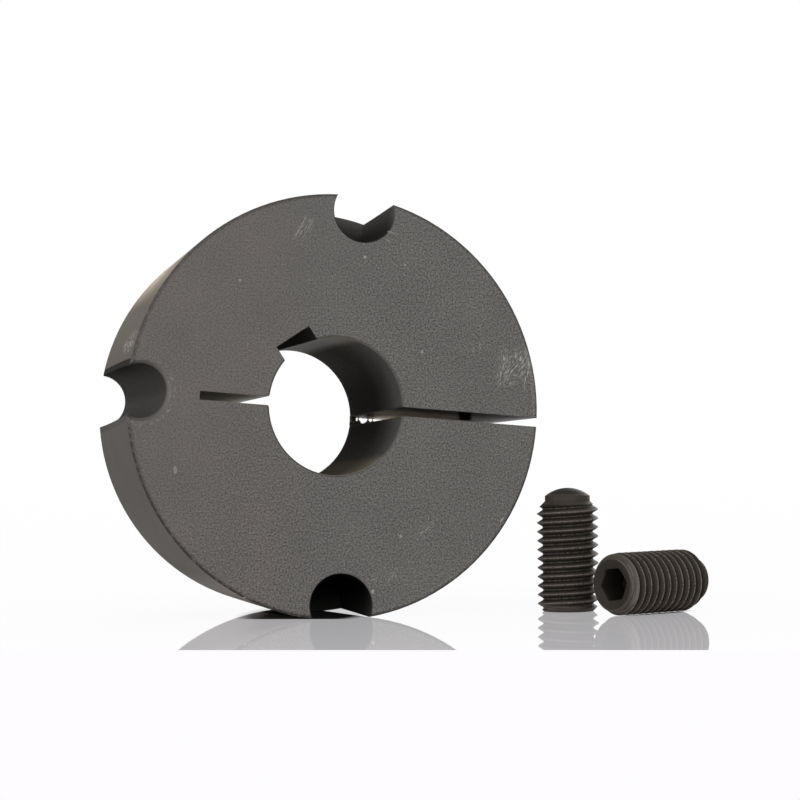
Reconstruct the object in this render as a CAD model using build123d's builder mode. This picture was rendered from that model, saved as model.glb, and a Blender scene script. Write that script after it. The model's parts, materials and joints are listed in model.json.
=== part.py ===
from build123d import *
from math import atan2, cos, radians, sin, tan
import os

# Split taper bush for a 35 mm shaft, with its two set screws taken out and put down beside it.
#
# The bush stands on its rim with its large end towards -Y. One of its half-holes faces the floor,
# so it rests on that half-hole's two front corners and on the taper at the hole's blind end.
# Millimetres and degrees, +Z up. The floor is at Z = 0, and the origin is the middle of the
# footprint of all three pieces.

# Bush body
large_end_diameter = 107.95
bush_length = 50.8
taper_per_side = 4.0
rim_edge_break = 0.6

# Bore and keyway; all angles on the bush are counted from the split
bore_diameter = 35.0
bore_edge_break = 0.5
keyway_width = 10.0
keyway_depth = 3.3
keyway_angle = 126.8

# Split, and the relief slot that lets the bush close on the shaft
split_width = 2.3
relief_slot_width = 2.2
relief_slot_wall = 18.5
relief_slot_angle = 180.0
slot_edge_break = 0.12
slot_corner_round = 0.65

# Set screw, 5/8 inch by 1 1/4 inch, 11 threads to the inch
screw_diameter = 15.875
screw_length = 31.75
screw_thread_depth = 1.48
screw_end_chamfer = 1.55
screw_dome_diameter = 11.6
screw_dome_height = 2.1
screw_neck_length = 1.3

# Hexagon socket of the set screw
socket_flats = 7.9375
socket_depth = 8.5
socket_drill_angle = 118.0
socket_mouth_diameter = 10.2
socket_mouth_angle = 130.0

# Half-holes in the rim, all centred on one circle and countersunk alike
hole_circle_diameter = 101.0
hole_mouth_angle = 90.0
plain_hole_clearance = 0.0625
plain_hole_depth = 28.0
plain_hole_angle = 85.0
plain_hole_mouth = 0.45
tapped_hole_angle = 180.0
tapped_hole_engagement = 0.8
tapped_hole_mouth = 0.6

# Where the screws have been put down: the standing one beside the bush's rim and a little in front
# of its large end, and the lying one's socket in front of the standing one and to its right
standing_screw_beyond_rim = 7.1
standing_screw_in_front = 2.1
standing_screw_turn = 12.0
lying_screw_right = 2.8
lying_screw_in_front = 24.1
lying_screw_heading = 25.3
lying_screw_roll = -7.0

# Worked out from the sizes above
bore_radius = bore_diameter / 2
large_end_radius = large_end_diameter / 2
taper_slope = tan(radians(taper_per_side))
small_end_radius = large_end_radius - bush_length * taper_slope
screw_radius = screw_diameter / 2
hole_circle_radius = hole_circle_diameter / 2
plain_hole_radius = screw_radius + plain_hole_clearance
tapped_hole_radius = screw_radius - screw_thread_depth * tapped_hole_engagement


def rim_radius(depth: float) -> float:
    """Radius of the taper at a depth behind the large end."""
    return large_end_radius - depth * taper_slope


def hole_corner_height(depth: float) -> float:
    """Distance from the bush's axis, along a plain half-hole's middle line, to its edge on the taper."""
    chord = hole_circle_radius**2 + rim_radius(depth) ** 2 - plain_hole_radius**2
    return chord / hole_circle_diameter


# The half-hole's front corners lie just behind the rim's edge break, and stand out further than the
# taper at the blind end does. That leans the large end back and sets the height of the axis.
corner_depth = rim_edge_break * cos(radians(taper_per_side))
corner_height = hole_corner_height(corner_depth)
heel_height = rim_radius(plain_hole_depth)
lean = atan2(corner_height - heel_height, plain_hole_depth - corner_depth)
axis_height = corner_height * cos(lean) + corner_depth * sin(lean)
split_turn = plain_hole_angle - 90

# The face plane looks out of the large end, with local X towards the split.
# The section plane holds the axis, with local Y running into the bush.
large_end_plane = Plane(
    origin=(0, 0, axis_height),
    x_dir=(1, 0, 0),
    z_dir=(0, -cos(lean), sin(lean)),
)
face_plane = Plane(large_end_plane.location * Rotation(0, 0, split_turn))
back_plane = face_plane.offset(-bush_length)
section_plane = Plane(face_plane.location * Rotation(-90, 0, 0))
bush_axis = Axis(face_plane.origin, section_plane.y_dir)
across_slots = Axis(face_plane.origin, face_plane.y_dir)

with BuildPart(face_plane) as taper_bush:
    # Turned taper ring with broken edges
    with BuildSketch(section_plane):
        with BuildLine():
            Polyline(
                (bore_radius, 0),
                (large_end_radius, 0),
                (small_end_radius, bush_length),
                (bore_radius, bush_length),
                close=True,
            )
        make_face()
    revolve(axis=bush_axis)
    bore_edges, *rim_edges = taper_bush.edges().filter_by(GeomType.CIRCLE).group_by(SortBy.RADIUS)
    chamfer(bore_edges, bore_edge_break)
    chamfer([edge for group in rim_edges for edge in group], rim_edge_break)

    # Keyway, broached through the bore
    with BuildSketch(face_plane):
        with PolarLocations(bore_radius + keyway_depth, 1, keyway_angle):
            Rectangle(bore_radius, keyway_width, align=(Align.MAX, Align.CENTER))
    extrude(amount=-bush_length, mode=Mode.SUBTRACT)

    # Split right through the wall, and the relief slot part of the way
    with BuildSketch(face_plane):
        Rectangle(large_end_diameter, split_width, align=(Align.MIN, Align.CENTER))
        with PolarLocations(large_end_radius - relief_slot_wall, 1, relief_slot_angle):
            Rectangle(
                large_end_radius - relief_slot_wall,
                relief_slot_width,
                align=(Align.MAX, Align.CENTER),
            )
    extrude(amount=-bush_length, mode=Mode.SUBTRACT)

    # Rounded corners where the two slots open into the bore
    wall_edges = taper_bush.faces().filter_by(across_slots).edges().filter_by(bush_axis)
    outside_edges = wall_edges.filter_by(lambda edge: not edge.is_interior)
    fillet(outside_edges, slot_corner_round)

    # Plain half-holes, blind, for the screws that pull the bush into its hub
    for hole_angle in (plain_hole_angle, -plain_hole_angle):
        with PolarLocations(hole_circle_radius, 1, hole_angle):
            CounterSinkHole(
                radius=plain_hole_radius,
                counter_sink_radius=plain_hole_radius + plain_hole_mouth,
                depth=plain_hole_depth,
                counter_sink_angle=hole_mouth_angle,
            )

    # Tapped half-hole, right through, for the screw that pushes the bush out again
    with PolarLocations(hole_circle_radius, 1, tapped_hole_angle):
        CounterSinkHole(
            radius=tapped_hole_radius,
            counter_sink_radius=tapped_hole_radius + tapped_hole_mouth,
            counter_sink_angle=hole_mouth_angle,
        )
    with BuildSketch(back_plane):
        with PolarLocations(hole_circle_radius, 1, tapped_hole_angle):
            Circle(tapped_hole_radius + tapped_hole_mouth)
    extrude(amount=tapped_hole_mouth, taper=hole_mouth_angle / 2, mode=Mode.SUBTRACT)

    # Broken edges where the slots and the keyway come out of the two ends
    end_faces = taper_bush.faces().filter_by(GeomType.PLANE).sort_by(bush_axis)
    for end_face in (end_faces[0], end_faces[-1]):
        slot_edges = end_face.edges().filter_by(GeomType.LINE)
        chamfer(slot_edges, slot_edge_break)


def make_set_screw(end_plane: Plane) -> BuildPart:
    """A set screw with its socket's face in end_plane and its length along the plane's normal."""
    socket_radius = socket_flats / 2
    mouth_radius = socket_mouth_diameter / 2
    dome_radius = screw_dome_diameter / 2
    mouth_depth = (mouth_radius - socket_radius) / tan(radians(socket_mouth_angle / 2))
    drill_tip = socket_depth + socket_radius / tan(radians(socket_drill_angle / 2))
    dome_edge = screw_length - screw_dome_height
    neck_start = dome_edge - screw_neck_length
    shank_end = neck_start - (screw_radius - dome_radius)

    with BuildPart(end_plane) as screw:
        # Turned outline, with the hole that the socket is broached into
        with BuildSketch(Plane(end_plane.location * Rotation(90, 0, 0))):
            with BuildLine():
                outline = Polyline(
                    (0, drill_tip),
                    (socket_radius, socket_depth),
                    (socket_radius, mouth_depth),
                    (mouth_radius, 0),
                    (screw_radius - screw_end_chamfer, 0),
                    (screw_radius, screw_end_chamfer),
                    (screw_radius, shank_end),
                    (dome_radius, neck_start),
                    (dome_radius, dome_edge),
                )
                dome = TangentArc((0, screw_length), outline @ 1, tangent=(1, 0))
                Line(dome @ 0, outline @ 0)
            make_face()
        revolve(axis=Axis(end_plane.origin, end_plane.z_dir))

        # Broached hexagon
        with BuildSketch(end_plane):
            RegularPolygon(socket_radius, 6, major_radius=False)
        extrude(amount=socket_depth, mode=Mode.SUBTRACT)
    return screw


# One screw stands on its socket end; the other lies on its threads, socket towards the front
standing_x = large_end_radius + standing_screw_beyond_rim
standing_y = -standing_screw_in_front
standing_end = Plane(Location((standing_x, standing_y, 0), (0, 0, standing_screw_turn)))
standing_set_screw = make_set_screw(standing_end)

heading = radians(lying_screw_heading)
lying_end = Plane(
    origin=(standing_x + lying_screw_right, standing_y - lying_screw_in_front, screw_radius),
    x_dir=(0, 0, 1),
    z_dir=(cos(heading), sin(heading), 0),
)
lying_set_screw = make_set_screw(Plane(lying_end.location * Rotation(0, 0, lying_screw_roll)))

# Put the origin in the middle of the footprint
pieces = (taper_bush, standing_set_screw, lying_set_screw)
footprint = Compound([piece.part for piece in pieces]).bounding_box().center()
for piece in pieces:
    piece.part = piece.part.moved(Location((-footprint.X, -footprint.Y, 0)))

taper_bush.part.label = "taper_bush"
standing_set_screw.part.label = "standing_set_screw"
lying_set_screw.part.label = "lying_set_screw"

os.makedirs("parts", exist_ok=True)
export_step(taper_bush.part, "parts/taper_bush.step")
export_step(standing_set_screw.part, "parts/standing_set_screw.step")
export_step(lying_set_screw.part, "parts/lying_set_screw.step")
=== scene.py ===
import json
import logging
import math
from dataclasses import dataclass, field
from enum import Enum
from typing import Optional, Sequence, Union

import bmesh
import bpy
from mathutils import Matrix, Vector


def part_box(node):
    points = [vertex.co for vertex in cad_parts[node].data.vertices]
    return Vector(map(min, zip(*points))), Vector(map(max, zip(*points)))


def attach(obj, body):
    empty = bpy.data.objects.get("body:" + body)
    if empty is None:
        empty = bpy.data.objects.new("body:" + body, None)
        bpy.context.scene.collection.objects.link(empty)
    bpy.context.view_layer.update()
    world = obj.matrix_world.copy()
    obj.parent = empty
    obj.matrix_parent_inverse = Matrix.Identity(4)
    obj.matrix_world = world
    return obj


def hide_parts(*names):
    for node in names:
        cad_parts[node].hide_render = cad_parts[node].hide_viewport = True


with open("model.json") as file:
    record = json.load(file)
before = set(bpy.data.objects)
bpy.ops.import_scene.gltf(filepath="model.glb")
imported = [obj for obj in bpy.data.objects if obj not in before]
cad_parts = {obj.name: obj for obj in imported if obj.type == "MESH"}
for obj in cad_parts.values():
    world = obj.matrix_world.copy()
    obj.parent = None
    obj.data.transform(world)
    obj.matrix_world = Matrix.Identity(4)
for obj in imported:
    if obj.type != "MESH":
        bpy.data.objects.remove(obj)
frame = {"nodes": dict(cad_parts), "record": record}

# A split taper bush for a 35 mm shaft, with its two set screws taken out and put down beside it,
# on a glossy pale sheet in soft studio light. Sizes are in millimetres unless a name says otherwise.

log = logging.getLogger("taper_bush")

MM = 0.001
FULL_TURN = 2 * math.pi
ROOT = "root"
WELD_DISTANCE = 0.001
ENDLESS = 1000.0
UNIT = (1.0, 1.0, 1.0)
WHITE = (1.0, 1.0, 1.0, 1.0)

Point = tuple[float, float, float]
Span = tuple[float, float]
Value = Union["Wire", float, Sequence[float]]
Piece = bpy.types.Object
Material = bpy.types.Material


# --- shader wiring


class Wire:
    """A socket of a finish's node tree that takes part in arithmetic."""

    def __init__(self, bench: "NodeBench", socket: bpy.types.NodeSocket) -> None:
        """Keeps the output socket and the bench of the tree that it belongs to."""
        self.bench = bench
        self.socket = socket

    def _math(self, operation: str, *values: Value, clamp: bool = False) -> "Wire":
        """Adds one Math node, its result held between 0 and 1 where clamp says so."""
        inputs = dict(enumerate(values))
        return self.bench.node("ShaderNodeMath", inputs, operation=operation, use_clamp=clamp)

    def __add__(self, other: Value) -> "Wire":
        """This value plus another."""
        return self._math("ADD", self, other)

    __radd__ = __add__

    def __sub__(self, other: Value) -> "Wire":
        """This value less another."""
        return self._math("SUBTRACT", self, other)

    def __rsub__(self, other: Value) -> "Wire":
        """Another value less this one."""
        return self._math("SUBTRACT", other, self)

    def __mul__(self, other: Value) -> "Wire":
        """This value times another."""
        return self._math("MULTIPLY", self, other)

    __rmul__ = __mul__

    def __pow__(self, other: Value) -> "Wire":
        """This value to a power."""
        return self._math("POWER", self, other)

    def __abs__(self) -> "Wire":
        """This value without its sign."""
        return self._math("ABSOLUTE", self)

    def __or__(self, other: Value) -> "Wire":
        """The larger of two masks."""
        return self._math("MAXIMUM", self, other)

    def clamped(self) -> "Wire":
        """This value held between 0 and 1."""
        return self._math("ADD", self, 0.0, clamp=True)

    def step(self, start: float, end: float) -> "Wire":
        """A soft step over this value.

        Args:
            start: The value at which the step is 0.
            end: The value at which the step is 1, on either side of start.

        Returns:
            A mask from 0 to 1.
        """
        rising = start < end
        inputs = {
            "Value": self,
            "From Min": min(start, end),
            "From Max": max(start, end),
            "To Min": 0.0 if rising else 1.0,
            "To Max": 1.0 if rising else 0.0,
        }
        return self.bench.node("ShaderNodeMapRange", inputs, interpolation_type="SMOOTHSTEP")


class NodeBench:
    """The node tree of one finish, with the few calls that its recipe is written in."""

    def __init__(self, tree: bpy.types.NodeTree) -> None:
        """Takes a material's or the world's node tree and empties it."""
        self.tree = tree
        self.tree.nodes.clear()

    def node(
        self,
        kind: str,
        inputs: Optional[dict[Union[int, str], Value]] = None,
        output: Union[int, str] = 0,
        **settings: object,
    ) -> Wire:
        """Adds any node: its settings first, then the values or links of its sockets.

        Args:
            kind: The node's type.
            inputs: Values or wires by socket name or number.
            output: The socket that is handed back.
            settings: Its settings by name.

        Returns:
            The chosen output, or the first input of a node that has no outputs.
        """
        made = self.tree.nodes.new(kind)
        for name, setting in settings.items():
            setattr(made, name, setting)
        for name, value in (inputs or {}).items():
            if isinstance(value, Wire):
                self.tree.links.new(value.socket, made.inputs[name])
            else:
                made.inputs[name].default_value = value
        if not made.outputs:
            return Wire(self, made.inputs[0])
        return Wire(self, made.outputs[output])

    def blend(self, mask: Value, below: Value, above: Value) -> Wire:
        """One colour over another, each a wire or red, green and blue.

        Args:
            mask: How much of the upper colour shows.
            below: The lower colour.
            above: The upper colour.

        Returns:
            The mixed colour.
        """
        lower, upper = (
            colour if isinstance(colour, Wire) else (*colour, 1.0) for colour in (below, above)
        )
        return self.node("ShaderNodeMix", {0: mask, 6: lower, 7: upper}, 2, data_type="RGBA")

    def tint(self, colour: Value, level: Value) -> Wire:
        """A colour made lighter or darker by a factor."""
        return self.node("ShaderNodeVectorMath", {0: colour, 3: level}, operation="SCALE")

    def noise(
        self,
        place: Wire,
        scale: float,
        detail: float = 2.0,
        roughness: float = 0.5,
        stretch: Point = UNIT,
    ) -> Wire:
        """A noise that runs about 0.5.

        Args:
            place: Where on the piece, in millimetres.
            scale: Number of blotches to the millimetre.
            detail: Number of finer layers.
            roughness: Strength of the finer layers.
            stretch: Scale along each axis of the place.

        Returns:
            The noise value.
        """
        if stretch != UNIT:
            place = self.node("ShaderNodeVectorMath", {0: place, 1: stretch}, operation="MULTIPLY")
        inputs = {"Vector": place, "Scale": scale, "Detail": detail, "Roughness": roughness}
        return self.node("ShaderNodeTexNoise", inputs)

    def bump(self, height: Wire, distance: float) -> Wire:
        """The normal of a fine relief, whose height of 1 stands for a distance in millimetres."""
        return self.node("ShaderNodeBump", {"Height": height, "Distance": distance * MM})

    def parts(self, place: Wire) -> tuple[Wire, ...]:
        """The X, Y and Z of a place."""
        return tuple(self.node("ShaderNodeSeparateXYZ", {0: place}, axis) for axis in range(3))

    def distance(self, place: Wire) -> Wire:
        """How far a place lies from zero."""
        return self.node("ShaderNodeVectorMath", {0: place}, "Value", operation="LENGTH")

    def mapped(self, place: Wire, centre: Point, turn: Point, size: Point) -> Wire:
        """Coordinates from a centre, in a turned frame, counted in a size along each axis."""
        inputs = {"Vector": place, "Location": centre, "Rotation": turn, "Scale": size}
        return self.node("ShaderNodeMapping", inputs, vector_type="TEXTURE")

    def place_on(self, seat: Matrix) -> Wire:
        """Coordinates on a piece, in millimetres, in its own frame, which lies at a seat."""
        place = self.node("ShaderNodeTexCoord", output="Object")
        return self.mapped(place, tuple(seat.translation), tuple(seat.to_euler()), (MM, MM, MM))

    def turned(self, place: Wire, centre: Point, size: Point, turn: float) -> Wire:
        """Coordinates from a centre, turned in the face by some degrees and counted in a size."""
        return self.mapped(place, centre, (0.0, 0.0, math.radians(turn)), size)

    def spot(self, place: Wire, centre: Point, half_size: Point, turn: float = 0.0) -> Wire:
        """Distance from a spot's middle in half sizes, so that 1 is its edge."""
        return self.distance(self.turned(place, centre, half_size, turn))

    def principled(self, **inputs: Value) -> Wire:
        """The surface shader, its inputs given by socket name with _ for a space."""
        named = {name.replace("_", " "): value for name, value in inputs.items()}
        return self.node("ShaderNodeBsdfPrincipled", named)

    def mixed(self, share: Value, first: Wire, second: Wire) -> Wire:
        """Two shaders mixed, with the second one's share."""
        return self.node("ShaderNodeMixShader", {0: share, 1: first, 2: second})

    def part_matt(self, share: Value, glossy: Wire, colour: Wire, relief: Wire) -> Wire:
        """A glossy surface with a share of a matt one of the same colour and relief."""
        matt = self.principled(
            Base_Color=colour, Roughness=1.0, Specular_IOR_Level=0.0, Normal=relief
        )
        return self.mixed(share, glossy, matt)

    def finish(self, shader: Wire, kind: str = "ShaderNodeOutputMaterial") -> None:
        """Sends a shader to the output."""
        self.node(kind, {"Surface": shader})


def new_finish(name: str) -> tuple[Material, NodeBench]:
    """An empty material and its bench.

    Args:
        name: The finish's name.

    Returns:
        The material and the bench of its nodes.
    """
    material = bpy.data.materials.new(name)
    material.use_nodes = True
    return material, NodeBench(material.node_tree)


# --- modelling by hand


class Workbench:
    """The hand moves that the pieces are modelled with."""

    @staticmethod
    def clear() -> None:
        """Deselects everything in object mode."""
        if bpy.context.object and bpy.context.object.mode != "OBJECT":
            bpy.ops.object.mode_set(mode="OBJECT")
        bpy.ops.object.select_all(action="DESELECT")

    @staticmethod
    def take(piece: Piece) -> None:
        """Makes one piece the only selected and active one.

        Args:
            piece: The piece.
        """
        Workbench.clear()
        piece.select_set(True)
        bpy.context.view_layer.objects.active = piece

    @staticmethod
    def edit(piece: Piece, everything: bool = True) -> None:
        """Opens a piece in edit mode.

        Args:
            piece: The piece.
            everything: Whether all of it is selected, or nothing.
        """
        Workbench.take(piece)
        bpy.ops.object.mode_set(mode="EDIT")
        bpy.ops.mesh.select_all(action="SELECT" if everything else "DESELECT")

    @staticmethod
    def close() -> None:
        """Leaves edit mode."""
        bpy.ops.object.mode_set(mode="OBJECT")

    @staticmethod
    def outline(name: str, points: Sequence[tuple[float, float]]) -> Piece:
        """Draws an open outline beside the Z axis, point by point.

        Args:
            name: The name of the object.
            points: Distance from the axis and height of each point.

        Returns:
            The object that holds the outline.
        """
        Workbench.clear()
        places = [Vector((radius, 0, height)) * MM for radius, height in points]
        bpy.ops.mesh.primitive_plane_add(size=MM, location=places[0])
        piece = bpy.context.object
        piece.name = name
        bpy.ops.object.transform_apply(location=True, rotation=True, scale=True)
        Workbench.edit(piece)
        bpy.ops.mesh.merge(type="CENTER")
        for start, end in zip(places, places[1:]):
            bpy.ops.mesh.extrude_region_move(TRANSFORM_OT_translate={"value": end - start})
        Workbench.close()
        return piece

    @staticmethod
    def turned(name: str, points: Sequence[tuple[float, float]], steps: int) -> Piece:
        """Turns an outline round the Z axis into a closed solid.

        Args:
            name: The name of the piece.
            points: The outline, from the axis back to the axis.
            steps: Number of steps in the turn.

        Returns:
            The solid.
        """
        piece = Workbench.outline(name, points)
        Workbench.edit(piece)
        bpy.ops.mesh.spin(steps=steps, angle=FULL_TURN, center=(0, 0, 0), axis=(0, 0, 1))
        Workbench.weld()
        Workbench.close()
        return piece

    @staticmethod
    def cone(name: str, low: tuple[float, float], high: tuple[float, float], steps: int) -> Piece:
        """A closed cone between two ends, each given by its radius and its height."""
        return Workbench.turned(name, [(0.0, low[1]), low, high, (0.0, high[1])], steps)

    @staticmethod
    def weld(distance: float = WELD_DISTANCE) -> None:
        """Merges points that coincide and turns all faces outwards, in edit mode.

        Args:
            distance: How near the points have to be.
        """
        bpy.ops.mesh.select_all(action="SELECT")
        bpy.ops.mesh.remove_doubles(threshold=distance * MM)
        bpy.ops.mesh.normals_make_consistent(inside=False)

    @staticmethod
    def cut_off(height: float, keep_above: bool) -> None:
        """Cuts everything off at a height and closes the cut, in edit mode.

        Args:
            height: The height of the cut.
            keep_above: Whether the part above is kept, or the part below.
        """
        bpy.ops.mesh.select_all(action="SELECT")
        bpy.ops.mesh.bisect(
            plane_co=(0, 0, height * MM),
            plane_no=(0, 0, 1),
            threshold=0.0001 * MM,
            use_fill=True,
            clear_inner=keep_above,
            clear_outer=not keep_above,
        )

    @staticmethod
    def apply(piece: Piece, kind: str, **settings: object) -> None:
        """Adds one modifier and applies it.

        Args:
            piece: The piece.
            kind: The modifier's type.
            settings: The modifier's settings.
        """
        Workbench.take(piece)
        modifier = piece.modifiers.new(kind.lower(), kind)
        for name, setting in settings.items():
            setattr(modifier, name, setting)
        bpy.ops.object.modifier_apply(modifier=modifier.name)

    @staticmethod
    def combine(piece: Piece, tool: Piece, operation: str) -> None:
        """Cuts a piece with a closed tool, joins them or keeps what they share; the tool goes."""
        Workbench.apply(piece, "BOOLEAN", object=tool, operation=operation, solver="EXACT")
        bpy.data.objects.remove(tool)

    @staticmethod
    def move(piece: Piece, matrix: Matrix) -> None:
        """Puts a piece's mesh somewhere else, and leaves its object at the origin.

        Args:
            piece: The piece.
            matrix: The move.
        """
        Workbench.take(piece)
        piece.matrix_world = matrix
        bpy.ops.object.transform_apply(location=True, rotation=True, scale=True)

    @staticmethod
    def carve(piece: Piece, tool: Piece, place: Matrix) -> None:
        """Moves a tool to its place and cuts a piece with it."""
        Workbench.move(tool, place)
        Workbench.combine(piece, tool, "DIFFERENCE")

    @staticmethod
    def copy(piece: Piece, name: str) -> Piece:
        """A copy of a piece with its own mesh.

        Args:
            piece: The piece to copy.
            name: The copy's name.

        Returns:
            The copy.
        """
        twin = bpy.data.objects.new(name, piece.data.copy())
        bpy.context.scene.collection.objects.link(twin)
        twin.data.materials.clear()
        return twin

    @staticmethod
    def smooth(piece: Piece, angle: float) -> None:
        """Shades a piece smooth, with its edges sharp where they turn more than some degrees."""
        Workbench.take(piece)
        bpy.ops.object.shade_smooth_by_angle(angle=math.radians(angle))

    @staticmethod
    def box(piece: Piece) -> tuple[Vector, Vector]:
        """The box of a piece's mesh.

        Args:
            piece: The piece.

        Returns:
            Its lowest and its highest corner.
        """
        places = [vertex.co for vertex in piece.data.vertices]
        low = Vector([min(place[axis] for place in places) for axis in range(3)])
        high = Vector([max(place[axis] for place in places) for axis in range(3)])
        return low, high


def hang(piece: Piece, material: Material, replaced: str = "") -> None:
    """Args:
        piece: The finished piece.
        material: Its finish.
        replaced: The solid whose place it takes, if any.
    """
    piece.data.materials.clear()
    piece.data.materials.append(material)
    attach(piece, ROOT)
    if replaced:
        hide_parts(replaced)
    log.info("%s: %d faces", piece.name, len(piece.data.polygons))


# --- thread


@dataclass(frozen=True)
class Thread:
    """Right-hand screw thread with a 55 degree rounded form."""

    diameter: float = 15.8
    pitch: float = 25.4 / 11
    depth: float = 1.46
    crest_flat: float = 0.16
    root_flat: float = 0.34
    softness: float = 0.06
    spare_turns: int = 2
    steps: int = 96

    def rod(self, name: str, bottom: float, top: float, start: float) -> Piece:
        """A threaded rod on the Z axis.

        Args:
            name: The rod's name.
            bottom: Height of its lower end.
            top: Height of its upper end.
            start: Height at which a crest passes the X axis.

        Returns:
            The closed rod.
        """
        crest = self.diameter / 2
        root = crest - self.depth
        soft = self.depth * self.softness
        half = self.pitch / 2
        # One flank from crest to root, with both rounded by a few times the softness
        flank = [
            (crest, 0.0),
            (crest - soft * 0.4, self.crest_flat / 2),
            (crest - soft * 2.2, self.crest_flat / 2 + soft * 1.6),
            (root + soft * 1.6, half - self.root_flat / 2 - soft),
            (root + soft * 0.3, half - self.root_flat / 4),
        ]
        next_flank = [(radius, self.pitch - height) for radius, height in reversed(flank)]
        points = [*flank, (root, half), *next_flank]
        below = math.ceil((start - bottom) / self.pitch) + self.spare_turns
        first = start - below * self.pitch
        turns = math.ceil((top - first) / self.pitch) + self.spare_turns
        rod = Workbench.outline(name, [(radius, first + height) for radius, height in points])
        Workbench.apply(
            rod,
            "SCREW",
            axis="Z",
            angle=FULL_TURN,
            screw_offset=self.pitch * MM,
            iterations=turns,
            steps=self.steps,
            render_steps=self.steps,
            use_merge_vertices=False,
        )
        Workbench.edit(rod)
        bpy.ops.mesh.remove_doubles(threshold=WELD_DISTANCE * MM)
        Workbench.cut_off(bottom, keep_above=True)
        Workbench.cut_off(top, keep_above=False)
        Workbench.weld()
        Workbench.close()
        return rod


# --- set screws


class ScrewPlace(Enum):
    """Where each of the two set screws has been put down."""

    STANDING = "standing_set_screw"
    LYING = "lying_set_screw"


@dataclass(frozen=True)
class OxideFinish:
    """Black oxide on steel with an oily film, thread crests worn lighter that also carry a painted
    highlight, painted shade in the grooves, the socket and on its face, and a painted highlight
    along the root.

    A span gives the heights, or the distances from the axis or from the thread's crest or root,
    where a mask is 0 and where it is 1.
    """

    name: str = "black_oxide"
    colour: Point = (0.045, 0.0375, 0.0305)
    # The groove colour is painted shade, laid in the thread's grooves and in the socket.
    groove: Point = (0.015, 0.0125, 0.0102)
    # The root colour is a painted highlight along the thread's root.
    root: Point = (0.075, 0.063, 0.054)
    rub_and_glint: Point = (0.190, 0.161, 0.146)
    roughness: float = 0.5
    gloss: float = 0.2
    matt_share: float = 0.6
    grain_size: float = 2.2
    grain_height: float = 0.012
    blotch_size: float = 0.25
    shank_start: Span = (0.05, 0.15)
    shank_end: Span = (27.7, 27.4)
    shank_radius: Span = (6.0, 6.1)
    groove_below_crest: Span = (0.3, 1.1)
    highlight_above_root: Span = (0.14, 0.04)
    rub_and_glint_below_crest: Span = (0.25, 0.05)
    face_height: Span = (1.0, 0.9)
    face_radius: Span = (6.4, 6.3)
    face_shade: float = 0.45
    socket_height: Span = (0.4, 1.6)
    socket_radius: Span = (5.0, 4.8)
    end_height: Span = (1.9, 1.5)
    end_radius: Span = (6.2, 6.5)
    end_wear: float = 0.62
    crest_rub_and_glint_level: float = 0.85
    ring_size: float = 3.2

    def make(self, seat: Matrix, thread: Thread) -> Material:
        """Builds the material.

        Args:
            seat: The screw's own frame.
            thread: The thread, whose crests are rubbed.

        Returns:
            The finished material.
        """
        material, bench = new_finish(self.name)
        place = bench.place_on(seat)
        fine = bench.noise(place, self.grain_size, 3.0, 0.6)
        blotch = bench.noise(place, self.blotch_size, 2.0)
        across, over, along = bench.parts(place)
        radius = (across * across + over * over) ** 0.5
        below_crest = thread.diameter / 2 - radius
        above_root = thread.depth - below_crest

        # Painted shade: the socket's flat face is darkened.
        face = along.step(*self.face_height) * radius.step(*self.face_radius)
        tone = bench.tint(self.colour, 1 - self.face_shade * face)
        shank = along.step(*self.shank_start) * along.step(*self.shank_end)
        shank = shank * radius.step(*self.shank_radius)
        # Painted shade: the thread's grooves darken towards the root.
        groove = shank * below_crest.step(*self.groove_below_crest)
        tone = bench.blend(groove, tone, self.groove)
        # Painted highlight: a broken lighter line along the thread's root.
        bottom = shank * above_root.step(*self.highlight_above_root) * fine.step(0.35, 0.55)
        tone = bench.blend(bottom, tone, self.root)
        # Painted shade: the socket is darkened inside.
        socket = along.step(*self.socket_height) * radius.step(*self.socket_radius)
        tone = bench.blend(socket, tone, self.groove)

        # The crests are partly worn lighter and partly a painted highlight; the socket end's ring is
        # worn.
        crest_rub_and_glint = below_crest.step(*self.rub_and_glint_below_crest) * fine.step(0.3, 0.6)
        section = bench.node("ShaderNodeCombineXYZ", {0: radius, 2: along})
        rings = 0.3 + 0.6 * bench.noise(section, self.ring_size, 0.0).step(0.42, 0.58)
        rubbed_end = along.step(*self.end_height) * radius.step(*self.end_radius) * rings
        rub_and_glint = self.crest_rub_and_glint_level * crest_rub_and_glint | self.end_wear * rubbed_end
        level = 0.85 + 0.3 * blotch + 0.6 * (fine - 0.5)
        colour = bench.blend(rub_and_glint, bench.tint(tone, level), self.rub_and_glint)

        relief = bench.bump(fine, self.grain_height)
        oiled_and_sheen = bench.principled(
            Base_Color=colour,
            Roughness=self.roughness + 0.2 * (blotch - 0.5) - 0.08 * rub_and_glint,
            Specular_IOR_Level=self.gloss,
            Normal=relief,
        )
        bench.finish(bench.part_matt(self.matt_share, oiled_and_sheen, colour, relief))
        return material


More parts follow.
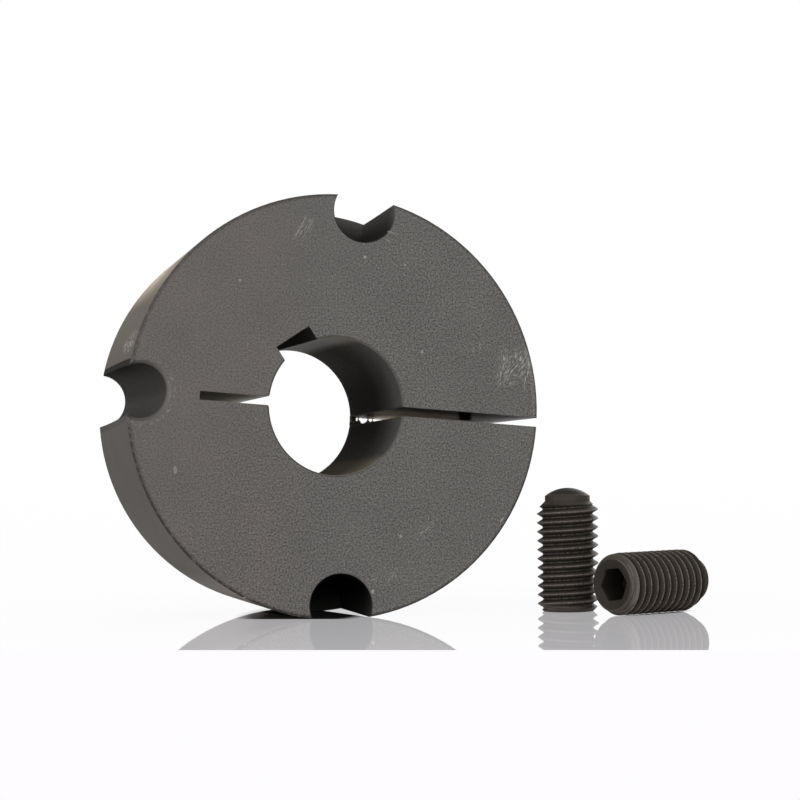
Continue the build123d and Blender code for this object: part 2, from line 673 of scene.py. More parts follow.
@dataclass
class SetScrew:
    """Socket set screw with a domed end, modelled on the Z axis with its socket's face at 0."""

    thread: Thread = field(default_factory=Thread)
    finish: OxideFinish = field(default_factory=OxideFinish)
    length: float = 31.75
    shank_diameter: float = 15.875
    end_chamfer: float = 1.55
    dome_diameter: float = 11.6
    dome_height: float = 2.1
    dome_round: float = 0.1
    neck_length: float = 1.3
    edge_round: float = 0.12
    socket_flats: float = 7.9375
    socket_depth: float = 8.5
    socket_point: float = 2.3
    mouth_diameter: float = 12.2
    mouth_throat: float = 0.86
    mouth_depth: float = 0.8
    thread_start: float = 1.04
    overrun: float = 1.0
    smooth_angle: float = 32.0
    steps: int = 96
    dome_steps: int = 10
    standing_turn: float = 12.0
    lying_heading: float = 25.3
    lying_roll: float = -7.0

    def outline(self) -> list[tuple[float, float]]:
        """Draws half a section of the blank.

        Returns:
            The outline, from the axis at the socket end to the dome's top.
        """
        radius = self.shank_diameter / 2
        face = radius - self.end_chamfer
        dome = self.dome_diameter / 2
        dome_edge = self.length - self.dome_height
        neck = dome_edge - self.neck_length
        points = [
            (0.0, 0.0),
            (face - self.edge_round, 0.0),
            (face + self.edge_round * 0.5, self.edge_round * 0.5),
            (radius, self.end_chamfer),
            (radius, neck - (radius - dome)),
            (dome, neck),
            (dome, dome_edge - self.dome_round),
            (dome - 0.8 * self.dome_round, dome_edge + self.dome_round),
        ]
        ball = (dome**2 + self.dome_height**2) / (2 * self.dome_height)
        reach = math.asin(dome / ball)
        for step in range(1, self.dome_steps):
            turn = reach * (1 - step / self.dome_steps)
            points.append((ball * math.sin(turn), self.length - ball * (1 - math.cos(turn))))
        return [*points, (0.0, self.length)]

    def socket_tool(self) -> Piece:
        """Models the tool that cuts the socket.

        Returns:
            The hexagonal punch with its pointed end and the cone of the mouth.
        """
        Workbench.clear()
        corner = self.socket_flats / math.sqrt(3)
        above = 2 * self.overrun
        bpy.ops.mesh.primitive_cylinder_add(
            vertices=6,
            radius=corner * MM,
            depth=(self.socket_depth + above) * MM,
            location=(0, 0, (self.socket_depth - above) / 2 * MM),
        )
        punch = bpy.context.object
        bpy.ops.object.transform_apply(location=True, rotation=True, scale=True)
        Workbench.edit(punch, everything=False)
        mesh = bmesh.from_edit_mesh(punch.data)
        for face in mesh.faces:
            face.select_set(face.normal.z > 0.9)
        bmesh.update_edit_mesh(punch.data)
        bpy.ops.mesh.extrude_region_move(
            TRANSFORM_OT_translate={"value": (0, 0, self.socket_point * MM)}
        )
        bpy.ops.mesh.merge(type="CENTER")
        Workbench.close()

        throat = corner * self.mouth_throat
        spread = 1 + above / self.mouth_depth
        low = (throat + (self.mouth_diameter / 2 - throat) * spread, -above)
        mouth = Workbench.cone("socket_mouth", low, (throat, self.mouth_depth), self.steps)
        Workbench.combine(punch, mouth, "UNION")
        return punch

    def model(self) -> Piece:
        """Models one screw: the blank, its thread and its socket.

        Returns:
            The screw on the Z axis.
        """
        screw = Workbench.turned("set_screw", self.outline(), self.steps)
        top = self.length + self.overrun
        rod = self.thread.rod("thread_rod", -self.overrun, top, self.thread_start)
        Workbench.combine(screw, rod, "INTERSECT")
        Workbench.combine(screw, self.socket_tool(), "DIFFERENCE")
        Workbench.edit(screw)
        Workbench.weld(2 * WELD_DISTANCE)
        Workbench.close()
        Workbench.smooth(screw, self.smooth_angle)
        return screw

    def put_down(self, screw: Piece, where: ScrewPlace) -> None:
        """Makes a copy of the screw and puts it where the solid of that name lies.

        Args:
            screw: The modelled screw.
            where: Which of the two places.
        """
        piece = Workbench.copy(screw, where.value + "_threaded")
        if where is ScrewPlace.STANDING:
            turn = Matrix.Rotation(math.radians(self.standing_turn), 4, "Z")
        else:
            turn = (
                Matrix.Rotation(math.radians(self.lying_heading), 4, "Z")
                @ Matrix.Rotation(math.radians(90), 4, "Y")
                @ Matrix.Rotation(math.radians(180 + self.lying_roll), 4, "Z")
            )
        Workbench.move(piece, turn)
        low, high = Workbench.box(piece)
        node_low, node_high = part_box(where.value)
        shift = (node_low + node_high - low - high) / 2
        Workbench.move(piece, Matrix.Translation(shift))
        material = self.finish.make(Matrix.Translation(shift) @ turn, self.thread)
        hang(piece, material, where.value)

    def build(self) -> None:
        """Models the screw once and puts down both copies."""
        screw = self.model()
        for where in ScrewPlace:
            self.put_down(screw, where)
        bpy.data.objects.remove(screw)


# --- bush


@dataclass(frozen=True)
class Mark:
    """One scratch, chip or spot of wear, placed in the bush's own frame in millimetres."""

    right: float
    up: float
    length: float
    width: float
    turn: float
    strength: float

    @property
    def centre(self) -> Point:
        """Its middle, on the large end."""
        return self.right, self.up, 0.0

    @property
    def half_size(self) -> Point:
        """Half its length and width, and how deep it shows."""
        return self.length / 2, self.width / 2, 1.0


@dataclass(frozen=True)
class Hollow:
    """A round hollow that runs into the bush.

    Its wall is painted in shade, as black as darkness near its floor and as rim_darkness by the rim;
    the shade starts lit_depth behind the large end, and floor_light is painted light on its lower
    side.
    """

    right: float
    up: float
    radius: float
    darkness: float
    rim_darkness: float
    lit_depth: float = 0.1
    floor_light: float = 0.0


@dataclass(frozen=True)
class TaperSheen:
    """A stretch of the taper between two heights that is painted lighter, as painted sheen."""

    heights: Span
    level: float


@dataclass(frozen=True)
class IronFinish:
    """Fine-ground, chemically blackened iron, whose colours also carry painted shade in its hollows,
    keyway and bore, and painted light and sheen on the taper, rim, bore and slot walls.

    A span gives the places where a mask is 0 and where it is 1, in the bush's own frame: up or to
    the right of its axis, away from the axis, or out of the large end, which is below 0 inside.
    """

    name: str = "blackened_iron"
    colour: Point = (0.1105, 0.1055, 0.0995)
    brown: Point = (0.1150, 0.1035, 0.0980)
    side: Point = (0.062, 0.055, 0.049)
    # The taper's upper colour is painted light from above.
    side_lit_above: Point = (0.104, 0.089, 0.071)
    dark: Point = (0.022, 0.021, 0.020)
    black: Point = (0.004, 0.004, 0.004)
    bare: Point = (0.32, 0.305, 0.29)
    split_wall: Point = (0.230, 0.186, 0.130)
    relief_wall: Point = (0.300, 0.270, 0.185)
    # The bore's lighter colour is painted sheen and painted light; the keyway's colour is painted
    # shade.
    bore_sheen: Point = (0.145, 0.128, 0.100)
    keyway: Point = (0.034, 0.030, 0.026)

    roughness: float = 0.55
    gloss: float = 0.3
    matt_share: float = 0.97
    side_matt_share: float = 0.6
    slot_brightness: float = 0.7
    grain_size: float = 2.3
    grain_contrast: float = 3.5
    grain_height: float = 0.02
    coarse_lean: float = -0.6
    coarse_side: Span = (-45.0, 5.0)
    patch_size: float = 0.06
    fleck_size: float = 1.3

    length: float = 50.8
    bore_radius: float = 17.5
    rim_radius: float = 53.3
    edge_from_rim: Span = (0.5, 0.1)
    taper_from_rim: Span = (0.7, 0.1)
    edge_break: float = 0.6
    taper_slope: float = math.tan(math.radians(4.0))
    split_turn: float = -5.0
    slot_half_width: float = 1.2
    keyway_turn: float = 121.8
    keyway_reach: float = 19.5
    keyway_half_size: Point = (3.2, 9.0, ENDLESS)
    inside_depth: Span = (-0.02, -0.12)
    untouched_radius: Span = (21.1, 20.9)

    brown_side: Span = (5.0, -30.0)
    # The rim band is partly rubbed bare and partly a painted highlight.
    rim_band_radius: Span = (52.2, 52.9)
    rim_band_side: Span = (-20.0, 5.0)
    rim_band_over: Span = (-6.0, 2.0)
    rim_band_under: Span = (16.0, 11.0)

    side_upper: Span = (2.0, 24.0)
    streak_size: float = 0.8
    streak_stretch: Point = (0.15, 0.15, 3.0)
    taper_sheens: tuple[TaperSheen, ...] = (
        TaperSheen((26.0, 35.0), 1.7),
        TaperSheen((-20.0, -35.0), 0.3),
        TaperSheen((-40.0, -47.0), 2.2),
    )
    shoulder_sheen: TaperSheen = TaperSheen((27.0, 38.0), 3.5)
    shoulder_depth: Span = (-5.0, -40.0)
    shoulder_side: Span = (0.0, -20.0)
    line_size: float = 0.7
    line_below: Span = (5.0, -5.0)
    line_side: Span = (0.0, -10.0)

    bore_dark: Span = (-6.0, -25.0)
    bore_ends: Span = (4.0, 16.0)
    sheen_above: Span = (15.2, 17.2)
    light_below: Span = (-11.5, -14.5)
    sheen_side: Span = (14.0, 11.0)
    oil_top: Span = (16.0, 17.4)

    hollow_near_rim: Span = (46.0, 53.0)
    hollow_floor: Span = (-2.0, -5.0)
    hollow_wall: Span = (1.5, -2.0)

    relief_radius: Span = (36.0, 35.5)
    slot_lit: Span = (-5.0, -20.0)
    split_lit_radius: Span = (50.0, 38.0)
    blot_size: float = 0.7
    blot_lean: float = 0.335
    blot_start: Span = (32.3, 33.5)
    blot_end: Span = (37.0, 35.8)
    blot_depth: Span = (-30.0, -26.0)
    scale_size: float = 0.9
    scale_depth: Span = (-24.0, -34.0)
    scale_radius: Span = (24.5, 22.0)

    side_nick: Point = (-50.0, 17.3, -12.0)
    side_nick_half_size: Point = (4.0, 3.6, 14.0)
    nick_size: float = 1.1
    chip_size: float = 0.9
    stroke_size: float = 1.7
    stroke_stretch: Point = (0.34, 1.4, 1.0)
    marks: tuple[Mark, ...] = (
        Mark(-8.4, 45.2, 8.0, 0.5, 58.0, 0.4),
        Mark(-6.0, 45.6, 6.5, 0.35, 60.0, 0.3),
        Mark(15.3, 44.3, 2.8, 0.45, -22.0, 0.5),
        Mark(14.6, 42.2, 2.0, 0.45, -28.0, 0.4),
        Mark(-24.4, 31.9, 0.7, 0.7, 0.0, 0.6),
        Mark(8.5, 37.9, 0.8, 0.8, 0.0, 0.9),
        Mark(19.1, 35.9, 0.7, 0.7, 0.0, 0.6),
        Mark(23.1, 13.6, 0.8, 0.8, 0.0, 0.9),
        Mark(16.1, -33.2, 0.9, 0.9, 0.0, 0.8),
        Mark(8.3, -47.0, 1.2, 0.9, 60.0, 0.9),
        Mark(43.3, -29.6, 1.6, 0.6, 55.0, 0.8),
        Mark(-25.0, -47.7, 0.8, 0.8, 0.0, 0.9),
        Mark(-42.1, -15.5, 1.0, 2.2, 0.0, 0.5),
        Mark(36.8, 14.1, 0.4, 2.0, 0.0, 0.4),
        Mark(38.7, 15.1, 0.4, 2.6, 0.0, 0.4),
    )
    scuffs: tuple[Mark, ...] = (
        Mark(48.2, 9.8, 14.0, 8.5, 58.0, 1.0),
        Mark(44.6, 9.5, 13.0, 4.0, 82.0, 0.9),
        Mark(51.3, 8.0, 12.0, 3.0, 80.0, 1.0),
        Mark(22.9, -31.5, 7.0, 4.0, 48.0, 0.6),
        Mark(13.6, -43.0, 6.0, 4.0, 60.0, 0.5),
        Mark(8.5, -43.8, 5.0, 3.0, 20.0, 0.5),
        Mark(-7.2, 45.2, 9.0, 5.0, 58.0, 0.4),
    )

    def make(self, seat: Matrix, hollows: Sequence[Hollow], chipped: Hollow) -> Material:
        """Builds the material.

        Args:
            seat: The bush's own frame, with Z out of the large end.
            hollows: The half-holes.
            chipped: The half-hole whose front edge is chipped bare.

        Returns:
            The finished material.
        """
        material, bench = new_finish(self.name)
        coat = IronCoat(self, bench, seat)
        coat.polish_and_highlight_rim()
        coat.turn_taper()
        coat.darken_bore()
        for hollow in hollows:
            coat.sink(hollow)
        coat.saw_slots()
        coat.add_grain()
        coat.wear()
        coat.chip(chipped)
        bench.finish(coat.surface())
        return material


class IronCoat:
    """The iron's finish while it is painted, one layer over another."""

    def __init__(self, look: IronFinish, bench: NodeBench, seat: Matrix) -> None:
        """Works out where a point lies, and starts with the grey and brown large end.

        Args:
            look: The finish's values.
            bench: Its node tree.
            seat: The bush's own frame, with Z out of the large end.
        """
        self.look = look
        self.bench = bench
        self.point = bench.place_on(seat)
        self.right, self.up, self.out = bench.parts(self.point)
        self.radius = (self.right * self.right + self.up * self.up) ** 0.5
        self.inside = self.out.step(*look.inside_depth)
        self.fine = bench.noise(self.point, look.grain_size, 2.0, 0.6)
        self.patch = bench.noise(self.point, look.patch_size, 3.0, 0.55)

        browner = self.right.step(*look.brown_side) * (0.6 + self.patch.step(0.45, 0.6))
        self.tone = bench.blend(browner.clamped(), look.colour, look.brown)
        self.roughness = look.roughness + 0.15 * (self.patch - 0.5)
        self.matt = self.radius.step(*look.untouched_radius) * self.inside
        self.matt = self.matt * self.out.step(-look.length, 0.2 - look.length)
        self.side_matt: Value = 0.0
        self.metal: Value = 0.0
        self.edge = (look.rim_radius - self.radius).step(*look.edge_from_rim)
        self.edge = self.edge * self.out.step(-look.edge_break - 0.03, -look.edge_break)

    def lay(self, mask: Value, colour: Value) -> None:
        """Lays a colour over what is there so far, where the mask shows it."""
        self.tone = self.bench.blend(mask, self.tone, colour)

    def patchy(self, size: float, span: Span, detail: float = 2.0, strength: float = 0.6) -> Wire:
        """A mask of irregular flecks."""
        return self.bench.noise(self.point, size, detail, strength).step(*span)

    def polish_and_highlight_rim(self) -> None:
        """Lays a lighter band just inside the rim, partly rubbed bare and partly a painted rim
        highlight, most of all above the split.
        """
        look = self.look
        band = self.radius.step(*look.rim_band_radius) * self.right.step(*look.rim_band_side)
        above_split = self.up.step(*look.rim_band_over) * self.up.step(*look.rim_band_under)
        self.lay(band * (0.06 + 0.2 * above_split), look.bare)

    def turn_taper(self) -> None:
        """Lays the turned taper, lighter upwards and in bands as painted light and sheen, and a
        broken dark line along its front edge.
        """
        look = self.look
        # Painted light and sheen: the taper is lighter towards the top, in bands by height and on
        # its upper shoulder.
        side = self.bench.blend(self.up.step(*look.side_upper), look.side, look.side_lit_above)
        shoulder = self.out.step(*look.shoulder_depth) * self.right.step(*look.shoulder_side)
        sheen_level = 1 + look.shoulder_sheen.level * self.up.step(*look.shoulder_sheen.heights) * shoulder
        for stretch in look.taper_sheens:
            sheen_level = sheen_level + stretch.level * self.up.step(*stretch.heights)
        streaks = self.bench.noise(self.point, look.streak_size, 2.0, 0.5, look.streak_stretch)
        side = self.bench.tint(side, sheen_level * (0.75 + 0.5 * streaks))
        reach = self.radius - look.taper_slope * self.out
        taper = (look.rim_radius - reach).step(*look.taper_from_rim)
        self.lay(taper * self.out.step(0.1 - look.edge_break, -0.1 - look.edge_break), side)
        self.side_matt = look.side_matt_share * self.inside * taper

        lower_left = self.up.step(*look.line_below) * self.right.step(*look.line_side)
        line = 0.1 + self.patchy(look.line_size, (0.36, 0.5)) * (0.3 + 0.3 * lower_left)
        self.lay(line * self.edge * self.out.step(-0.03, -0.1), look.dark)

    def darken_bore(self) -> None:
        """Lays the bore's wall, with painted shade deep inside, a painted brown sheen at the top and
        painted light at the bottom, and the keyway in painted shade.
        """
        look = self.look
        deep = self.out.step(*look.bore_dark)
        ends = abs(self.up).step(*look.bore_ends)
        wall = self.radius.step(look.bore_radius + 0.12, look.bore_radius + 0.06) * self.inside
        # Painted shade: the wall darkens deep inside, less at the top and bottom.
        plain = self.bench.tint(self.tone, 1 - deep * (0.71 - 0.37 * ends))
        # Painted sheen at the top and painted light at the bottom: browner, lighter below and darker
        # deep in.
        bore_light_level = (1 - 0.4 * deep) * (1 + 0.5 * self.up.step(0.0, -1.0))
        bore_sheen_tone = self.bench.tint(look.bore_sheen, bore_light_level)
        oiled_and_sheen = self.up.step(*look.sheen_above) | self.up.step(*look.light_below)
        self.lay(wall, self.bench.blend(oiled_and_sheen * self.right.step(*look.sheen_side), plain, bore_sheen_tone))

        turn = math.radians(look.keyway_turn)
        centre = (look.keyway_reach * math.cos(turn), look.keyway_reach * math.sin(turn), 0.0)
        keyway = self.bench.spot(self.point, centre, look.keyway_half_size, look.keyway_turn)
        before_back = self.out.step(0.05 - look.length, 0.1 - look.length)
        # Painted shade: the keyway is laid dark.
        keyway = keyway.step(1.0, 0.98) * self.inside * before_back
        self.lay(keyway, look.keyway)
        oily_top = wall * self.up.step(*look.oil_top) * (1 - keyway)
        self.matt = self.matt * (1 - 0.3 * oily_top) | self.side_matt
        self.roughness = self.roughness - 0.15 * oily_top

    def sink(self, hollow: Hollow) -> None:
        """Lays painted shade on the wall of one half-hole, darker or lighter towards its floor and
        the rim, with painted light on its lower side.

        Args:
            hollow: The half-hole.
        """
        look = self.look
        size = (hollow.radius, hollow.radius, ENDLESS)
        reach = self.bench.spot(self.point, (hollow.right, hollow.up, 0.0), size)
        # Painted shade in the half-hole, with painted light on its lower wall.
        shade = reach.step(1.05, 1.02) * self.inside * self.out.step(-0.05, -hollow.lit_depth)
        nearer = self.radius.step(*look.hollow_near_rim)
        share = hollow.darkness + (hollow.rim_darkness - hollow.darkness) * nearer
        height = self.up - hollow.up
        lit = 0.7 * height.step(*look.hollow_floor) * nearer
        lit = lit + 0.3 * height.step(*look.hollow_wall)
        share = share * (1 - hollow.floor_light * lit)
        self.lay(shade, self.bench.blend(share, look.colour, look.black))
        self.matt = self.matt | shade

    def saw_slots(self) -> None:
        """Lays the sawn walls of the split, with its black blot and scale, and the relief slot, the
        walls lighter deeper in as painted light.
        """
        look = self.look
        half_size = (ENDLESS, look.slot_half_width, ENDLESS)
        across = self.bench.spot(self.point, (0.0, 0.0, 0.0), half_size, look.split_turn)
        beside_bore = self.radius.step(look.bore_radius + 0.1, look.bore_radius + 0.4)
        slot = across.step(1.0, 0.97) * self.inside * beside_bore
        split = slot * self.right.step(0.0, 1.0)
        relief = slot * self.right.step(0.0, -1.0) * self.radius.step(*look.relief_radius)

        # Painted light: the slot walls are lighter deeper in, as if lit from behind through the
        # split.
        lit = self.out.step(*look.slot_lit)
        level = 0.25 + 2.0 * lit * self.radius.step(*look.split_lit_radius)
        self.lay(split, self.bench.tint(look.split_wall, level))
        ragged = self.radius + look.blot_lean * self.out
        ragged = ragged + self.bench.noise(self.point, look.blot_size, 2.0, 0.6)
        blot = ragged.step(*look.blot_start) * ragged.step(*look.blot_end)
        blot = blot * self.out.step(*look.blot_depth) * split
        self.lay(blot, look.black)
        scale = self.out.step(*look.scale_depth) * self.radius.step(*look.scale_radius)
        flakes = 0.95 - 0.5 * self.patchy(look.scale_size, (0.56, 0.62))
        self.lay(split * scale * flakes, look.black)
        self.lay(relief, self.bench.tint(look.relief_wall, 0.75 + 0.2 * lit))

        slot = split | relief
        self.metal = look.slot_brightness * slot
        self.matt = self.matt * (1 - slot) | blot | 0.1 * slot | self.edge
        self.roughness = self.roughness - 0.1 * slot

    def add_grain(self) -> None:
        """Breaks the colour up: coarse on the large end, finer inside and at its upper left."""
        look = self.look
        flecks = self.patchy(look.fleck_size, (0.66, 0.74), 1.0, 0.5)
        coarse = 0.5 + 0.5 * (self.right + look.coarse_lean * self.up).step(*look.coarse_side)
        level = 0.94 + coarse * (look.grain_contrast * (self.fine - 0.5) + 0.45 * flecks)
        level = level + 0.45 * (self.patch - 0.5)
        level = level + (1 - level) * 0.7 * self.inside
        self.tone = self.bench.tint(self.tone, level | 0.15)

    def wear(self) -> None:
        """Lays the scratches and chips, the nick on the taper and the scuffs."""
        look = self.look
        for mark in look.marks:
            reach = self.bench.spot(self.point, mark.centre, mark.half_size, mark.turn)
            self.lay(reach.step(1.1, 0.7) * self.fine.step(0.25, 0.5) * mark.strength, look.bare)
        nick = self.bench.spot(self.point, look.side_nick, look.side_nick_half_size)
        flecks = self.patchy(look.nick_size, (0.5, 0.6), 3.0, 0.65)
        self.lay(nick.step(1.0, 0.4) * flecks, look.bare)
        for scuff in look.scuffs:
            moved = self.bench.turned(self.point, scuff.centre, UNIT, scuff.turn)
            strokes = self.bench.noise(moved, look.stroke_size, 1.0, 0.5, look.stroke_stretch)
            reach = self.bench.spot(self.point, scuff.centre, scuff.half_size, scuff.turn)
            self.lay(reach.step(1.0, 0.3) * strokes.step(0.52, 0.62) * scuff.strength, look.bare)

    def chip(self, hollow: Hollow) -> None:
        """Lays small chips round the front edge of a half-hole.

        Args:
            hollow: The half-hole.
        """
        size = (hollow.radius + 0.9, hollow.radius + 0.9, 1.0)
        reach = self.bench.spot(self.point, (hollow.right, hollow.up, 0.0), size)
        ring = reach.step(0.98, 0.95) * reach.step(0.86, 0.9)
        flecks = self.patchy(self.look.chip_size, (0.54, 0.62), 3.0, 0.7)
        self.lay(0.35 * ring * flecks, self.look.bare)

    def surface(self) -> Wire:
        """The finished surface.

        Returns:
            The shader.
        """
        relief = self.bench.bump(self.fine, self.look.grain_height)
        ground = self.bench.principled(
            Base_Color=self.tone,
            Roughness=self.roughness,
            Metallic=self.metal,
            Specular_IOR_Level=self.look.gloss,
            Normal=relief,
        )
        share = self.matt * self.look.matt_share
        return self.bench.part_matt(share, ground, self.tone, relief)


@dataclass
class TaperBush:
    """The bush itself: the fitted body, with its tapped half-hole threaded and its bore eased."""

    finish: IronFinish = field(default_factory=IronFinish)
    thread: Thread = field(default_factory=lambda: Thread(diameter=14.4, depth=0.5))
    mouth_diameter: float = 15.2
    mouth_depth: float = 1.5
    lead_in_length: float = 3.2
    lead_in_flare: float = 1.1
    lead_in_steps: int = 180
    overrun: float = 1.0
    hole_circle_diameter: float = 101.0
    upper_hole_angle: float = 80.0
    lower_hole_angle: float = -90.0
    tapped_hole_angle: float = 175.0
    bore_mount: str = "bore"
    merge_distance: float = 0.0005
    smooth_angle: float = 30.0

    def seat(self) -> Matrix:
        """Works out the bush's own frame from the bore's mount.

        Returns:
            The frame: middle of the large end, X right, Z out of the large end.
        """
        mounts = frame["record"]["mounts"]
        bore = next(mount for mount in mounts if mount["name"] == self.bore_mount)
        outward = Vector(bore["axis"]).normalized()
        middle = Vector(bore["pos_m"]) + outward * (self.finish.length / 2 * MM)
        right = Vector((1, 0, 0))
        up = outward.cross(right)
        columns = Matrix((right, up, outward)).transposed()
        return Matrix.Translation(middle) @ columns.to_4x4()

    def hole_centre(self, angle: float) -> tuple[float, float]:
        """Where a half-hole's middle line meets the large end, from the bush's axis."""
        radius = self.hole_circle_diameter / 2
        return radius * math.cos(math.radians(angle)), radius * math.sin(math.radians(angle))

    def hollows(self) -> list[Hollow]:
        """The half-holes, with how dark each is inside: upper, lower and tapped."""
        return [
            Hollow(*self.hole_centre(self.upper_hole_angle), 8.0, 0.8, 0.0),
            Hollow(*self.hole_centre(self.lower_hole_angle), 8.0, 1.0, 0.75),
            Hollow(*self.hole_centre(self.tapped_hole_angle), 8.2, 0.6, 0.7, 2.6, 0.9),
        ]

    def mouth_tool(self) -> Piece:
        """Models the countersink of the tapped half-hole.

        Returns:
            The cone, with the large end at its zero height.
        """
        wide = self.mouth_diameter / 2
        narrow = self.thread.diameter / 2 - self.thread.depth
        flare = (wide - narrow) * self.overrun / self.mouth_depth
        low = (narrow, -self.mouth_depth)
        high = (wide + flare, self.overrun)
        return Workbench.cone("half_thread_mouth", low, high, self.thread.steps)

    def lead_in_tool(self) -> Piece:
        """Models the slight flare at the back of the bore.

        Returns:
            The cone, with the large end at its zero height.
        """
        narrow = self.finish.bore_radius
        wide = narrow + self.lead_in_flare * (1 + self.overrun / self.lead_in_length)
        low = (wide, -self.finish.length - self.overrun)
        high = (narrow, self.lead_in_length - self.finish.length)
        return Workbench.cone("bore_lead_in", low, high, self.lead_in_steps)

    def build(self) -> Material:
        """Copies the body, cuts the half thread and the bore's flare, and dresses it.

        Returns:
            The bush's finish.
        """
        seat = self.seat()
        body = Workbench.copy(frame["nodes"]["taper_bush"], "taper_bush_body")
        Workbench.take(body)
        bpy.ops.mesh.customdata_custom_splitnormals_clear()
        Workbench.edit(body)
        bpy.ops.mesh.remove_doubles(threshold=self.merge_distance * MM)
        Workbench.close()

        centre = Vector((*self.hole_centre(self.tapped_hole_angle), 0.0))
        tapped_hole = seat @ Matrix.Translation(centre * MM)
        beyond = 2 * self.overrun
        rod = self.thread.rod("half_thread_tap", -self.finish.length - beyond, beyond, 0.0)
        Workbench.carve(body, rod, tapped_hole)
        Workbench.carve(body, self.mouth_tool(), tapped_hole)
        Workbench.carve(body, self.lead_in_tool(), seat)
        Workbench.smooth(body, self.smooth_angle)
        hollows = self.hollows()
        material = self.finish.make(seat, hollows, hollows[-1])
        hang(body, material, "taper_bush")
        return material


@dataclass
class SplitBurr:
    """Ragged burr left across the split at the back of the bore.

    Each # of a row is a cell of metal. The rows run outwards from the bore's wall.
    """

    rows: tuple[str, ...] = (
        "########.#.....#..#####.###.",
        "#######..#..........#....#..",
        "#######..#..........#....#..",
        "#######..##........###..###.",
        "############......##########",
        "#############....###########",
        "############################",
        "############################",
        "############################",
    )
    cell: float = 0.25
    width: float = 2.6
    behind: float = 47.9
    thickness: float = 0.3
    raggedness: float = 0.1
    seed: int = 4

    def build(self, bush: TaperBush, material: Material) -> None:
        """Models the burr and puts it in the split.

        Args:
            bush: The bush that it belongs to.
            material: The bush's finish.
        """
        columns = len(self.rows[0])
        reach = columns * self.cell
        Workbench.clear()
        bpy.ops.mesh.primitive_grid_add(
            x_subdivisions=columns, y_subdivisions=len(self.rows), size=MM
        )
        burr = bpy.context.object
        burr.name = burr.data.name = "split_burr"
        Workbench.edit(burr)
        bpy.ops.transform.resize(value=(reach, self.width, 1.0))
        mesh = bmesh.from_edit_mesh(burr.data)
        for face in mesh.faces:
            middle = face.calc_center_median() / MM
            column = int((middle.x + reach / 2) / self.cell)
            row = int((self.width / 2 - middle.y) / self.width * len(self.rows))
            face.select_set(self.rows[row][column] != "#")
        bmesh.update_edit_mesh(burr.data)
        bpy.ops.mesh.delete(type="FACE")
        Workbench.edit(burr)
        bpy.ops.transform.vertex_random(offset=self.raggedness * MM, seed=self.seed)
        Workbench.apply(burr, "SOLIDIFY", thickness=self.thickness * MM, offset=0.0)
        turn = Matrix.Rotation(math.radians(bush.finish.split_turn), 4, "Z")
        middle = Vector((bush.finish.bore_radius + reach / 2, 0.0, -self.behind))
        Workbench.move(burr, bush.seat() @ turn @ Matrix.Translation(middle * MM))
        hang(burr, material)


# --- studio


@dataclass(frozen=True)
class Contact:
    """Painted shadow on the sheet where a piece stands: its middle and half size, as the sheet lies.
    """

    middle: Point
    half_size: Point
    turn: float = 0.0


@dataclass(frozen=True)
class Lamp:
    """A soft box: a square area lamp that looks at the middle of the object."""

    name: str
    place: Point
    size: float
    level: float


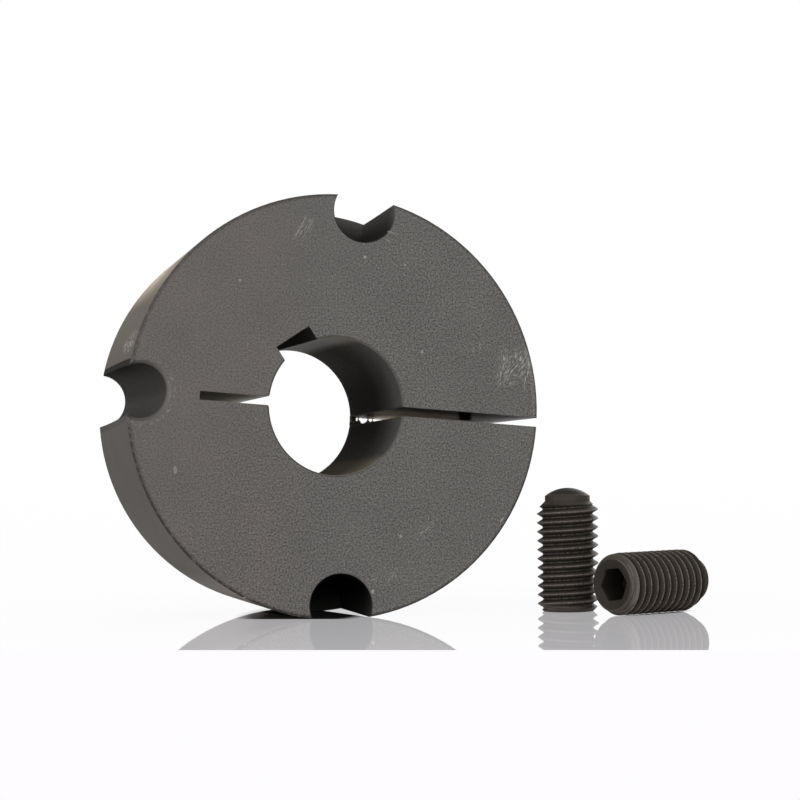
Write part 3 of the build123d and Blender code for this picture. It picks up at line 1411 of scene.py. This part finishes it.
@dataclass
class Studio:
    """Pale glossy sheet, white surroundings, soft boxes and the camera."""

    target: Point = (0.0, 0.0, 50.0)
    lamps: tuple[Lamp, ...] = (
        Lamp("soft_box_front", (-200.0, -1500.0, 500.0), 1800.0, 0.85),
        Lamp("soft_box_left", (-1200.0, -50.0, 250.0), 700.0, 0.5),
        Lamp("soft_box_over", (0.0, 0.0, 1300.0), 900.0, 0.2),
        Lamp("soft_box_back", (1000.0, 1000.0, 500.0), 900.0, 0.6),
    )
    ambient: float = 0.12
    sheet_size: float = 6000.0
    sheet_gloss: float = 0.89
    sheet_roughness: float = 0.02
    sheet_refraction: float = 1.5
    sheet_turn: float = -24.821
    sheet_front: float = -123.94
    shadow_share: float = 0.12
    shadow_reach: float = 150.0
    contacts: tuple[Contact, ...] = (
        Contact((-24.0, 0.0, 0.0), (19.0, 45.0, ENDLESS)),
        Contact((65.6, -2.4, 0.0), (15.5, 3.5, ENDLESS), 50.1),
    )
    contact_front: float = -23.4
    soft_edge: float = 0.3
    sheet_below: float = 0.02
    sheet_tone: float = 0.9
    sheet_glow: Point = (0.988, 0.972, 1.0)
    contact_shadow_tone: float = 0.03
    camera_place: Point = (-240.94, -775.82, 52.75)
    camera_azimuth: float = -17.27
    camera_tilt: float = 0.145
    camera_roll: float = -0.583
    camera_lens: float = 141.885

    def build_camera(self) -> None:
        """Sets up the camera."""
        data = bpy.data.cameras.new("camera")
        data.lens = self.camera_lens
        data.clip_start, data.clip_end = 0.01, 50.0
        camera = bpy.data.objects.new("camera", data)
        bpy.context.scene.collection.objects.link(camera)
        camera.matrix_world = (
            Matrix.Translation(Vector(self.camera_place) * MM)
            @ Matrix.Rotation(math.radians(self.camera_azimuth), 4, "Z")
            @ Matrix.Rotation(math.radians(90 + self.camera_tilt), 4, "X")
            @ Matrix.Rotation(math.radians(self.camera_roll), 4, "Z")
        )
        bpy.context.scene.camera = camera

    def build_lamps(self) -> None:
        """Hangs the soft boxes."""
        for lamp in self.lamps:
            data = bpy.data.lights.new(lamp.name, "AREA")
            data.size = lamp.size * MM
            away = (Vector(lamp.place) - Vector(self.target)) * MM
            # An area lamp's light falls off with the square of its distance
            data.energy = lamp.level * math.pi**2 * away.length_squared
            box = bpy.data.objects.new(lamp.name, data)
            bpy.context.scene.collection.objects.link(box)
            box.location = Vector(lamp.place) * MM
            box.rotation_mode = "QUATERNION"
            box.rotation_quaternion = away.to_track_quat("Z", "Y")

    def seen_directly(self, bench: NodeBench) -> Wire:
        """A mask for the rays that show a surface as it is seen.

        Args:
            bench: The node tree that needs the mask.

        Returns:
            The mask, 1 for rays from the camera, a reflection or a refraction.
        """
        camera = bench.node("ShaderNodeLightPath", output="Is Camera Ray")
        glossy = bench.node("ShaderNodeLightPath", output="Is Glossy Ray")
        through = bench.node("ShaderNodeLightPath", output="Is Transmission Ray")
        return camera | glossy | through

    def build_world(self) -> None:
        """White surroundings to look at, and a plain grey light from them."""
        world = bpy.data.worlds.new("surroundings")
        bpy.context.scene.world = world
        world.use_nodes = True
        bench = NodeBench(world.node_tree)
        plain, white = (
            bench.node("ShaderNodeBackground", {"Color": WHITE, "Strength": strength})
            for strength in (self.ambient, 1.0)
        )
        bench.finish(bench.mixed(self.seen_directly(bench), plain, white), "ShaderNodeOutputWorld")

    def build_sheet(self) -> None:
        """The glossy pale sheet that everything stands on, with painted contact shadows."""
        Workbench.clear()
        height = -self.sheet_below * MM
        bpy.ops.mesh.primitive_plane_add(size=self.sheet_size * MM, location=(0, 0, height))
        sheet = bpy.context.object
        sheet.name = "pale_sheet"
        material, bench = new_finish("pale_gloss")
        matt, shade = (
            bench.node("ShaderNodeBsdfDiffuse", {"Color": (tone, tone, tone, 1.0)})
            for tone in (self.sheet_tone, self.contact_shadow_tone)
        )
        white = bench.node("ShaderNodeEmission", {"Color": (*self.sheet_glow, 1.0)})
        polish = {"Color": WHITE, "Roughness": self.sheet_roughness}
        gloss = bench.node("ShaderNodeBsdfGlossy", polish)
        edge_on = bench.node("ShaderNodeFresnel", {"IOR": self.sheet_refraction})
        place = bench.place_on(Matrix.Rotation(math.radians(self.sheet_turn), 4, "Z"))
        depth = bench.parts(place)[1]
        around = bench.distance(place)
        shadow = self.shadow_share * around.step(self.shadow_reach, 0.3 * self.shadow_reach)
        level = bench.mixed(self.seen_directly(bench) * (1 - shadow), matt, white)
        behind = depth.step(self.contact_front - self.soft_edge, self.contact_front + self.soft_edge)
        # Painted shadow: a dark matt patch where each piece stands, behind the contact line.
        for contact in self.contacts:
            reach = bench.spot(place, contact.middle, contact.half_size, contact.turn)
            level = bench.mixed(reach.step(1.0, 0.7) * behind, level, shade)
        near = depth.step(self.sheet_front - self.soft_edge, self.sheet_front + self.soft_edge)
        bench.finish(bench.mixed(self.sheet_gloss * edge_on * near, level, gloss))
        sheet.data.materials.append(material)

    def build(self) -> None:
        """Sets up everything that isn't the object."""
        bpy.context.scene.view_settings.view_transform = "Standard"
        self.build_camera()
        self.build_lamps()
        self.build_world()
        self.build_sheet()


def main() -> None:
    """Builds the bush, its screws and the studio."""
    logging.basicConfig(level=logging.INFO, format="%(name)s: %(message)s")
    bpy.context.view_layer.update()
    bush = TaperBush()
    iron = bush.build()
    SplitBurr().build(bush, iron)
    SetScrew().build()
    Studio().build()


if __name__ == "__main__":
    main()
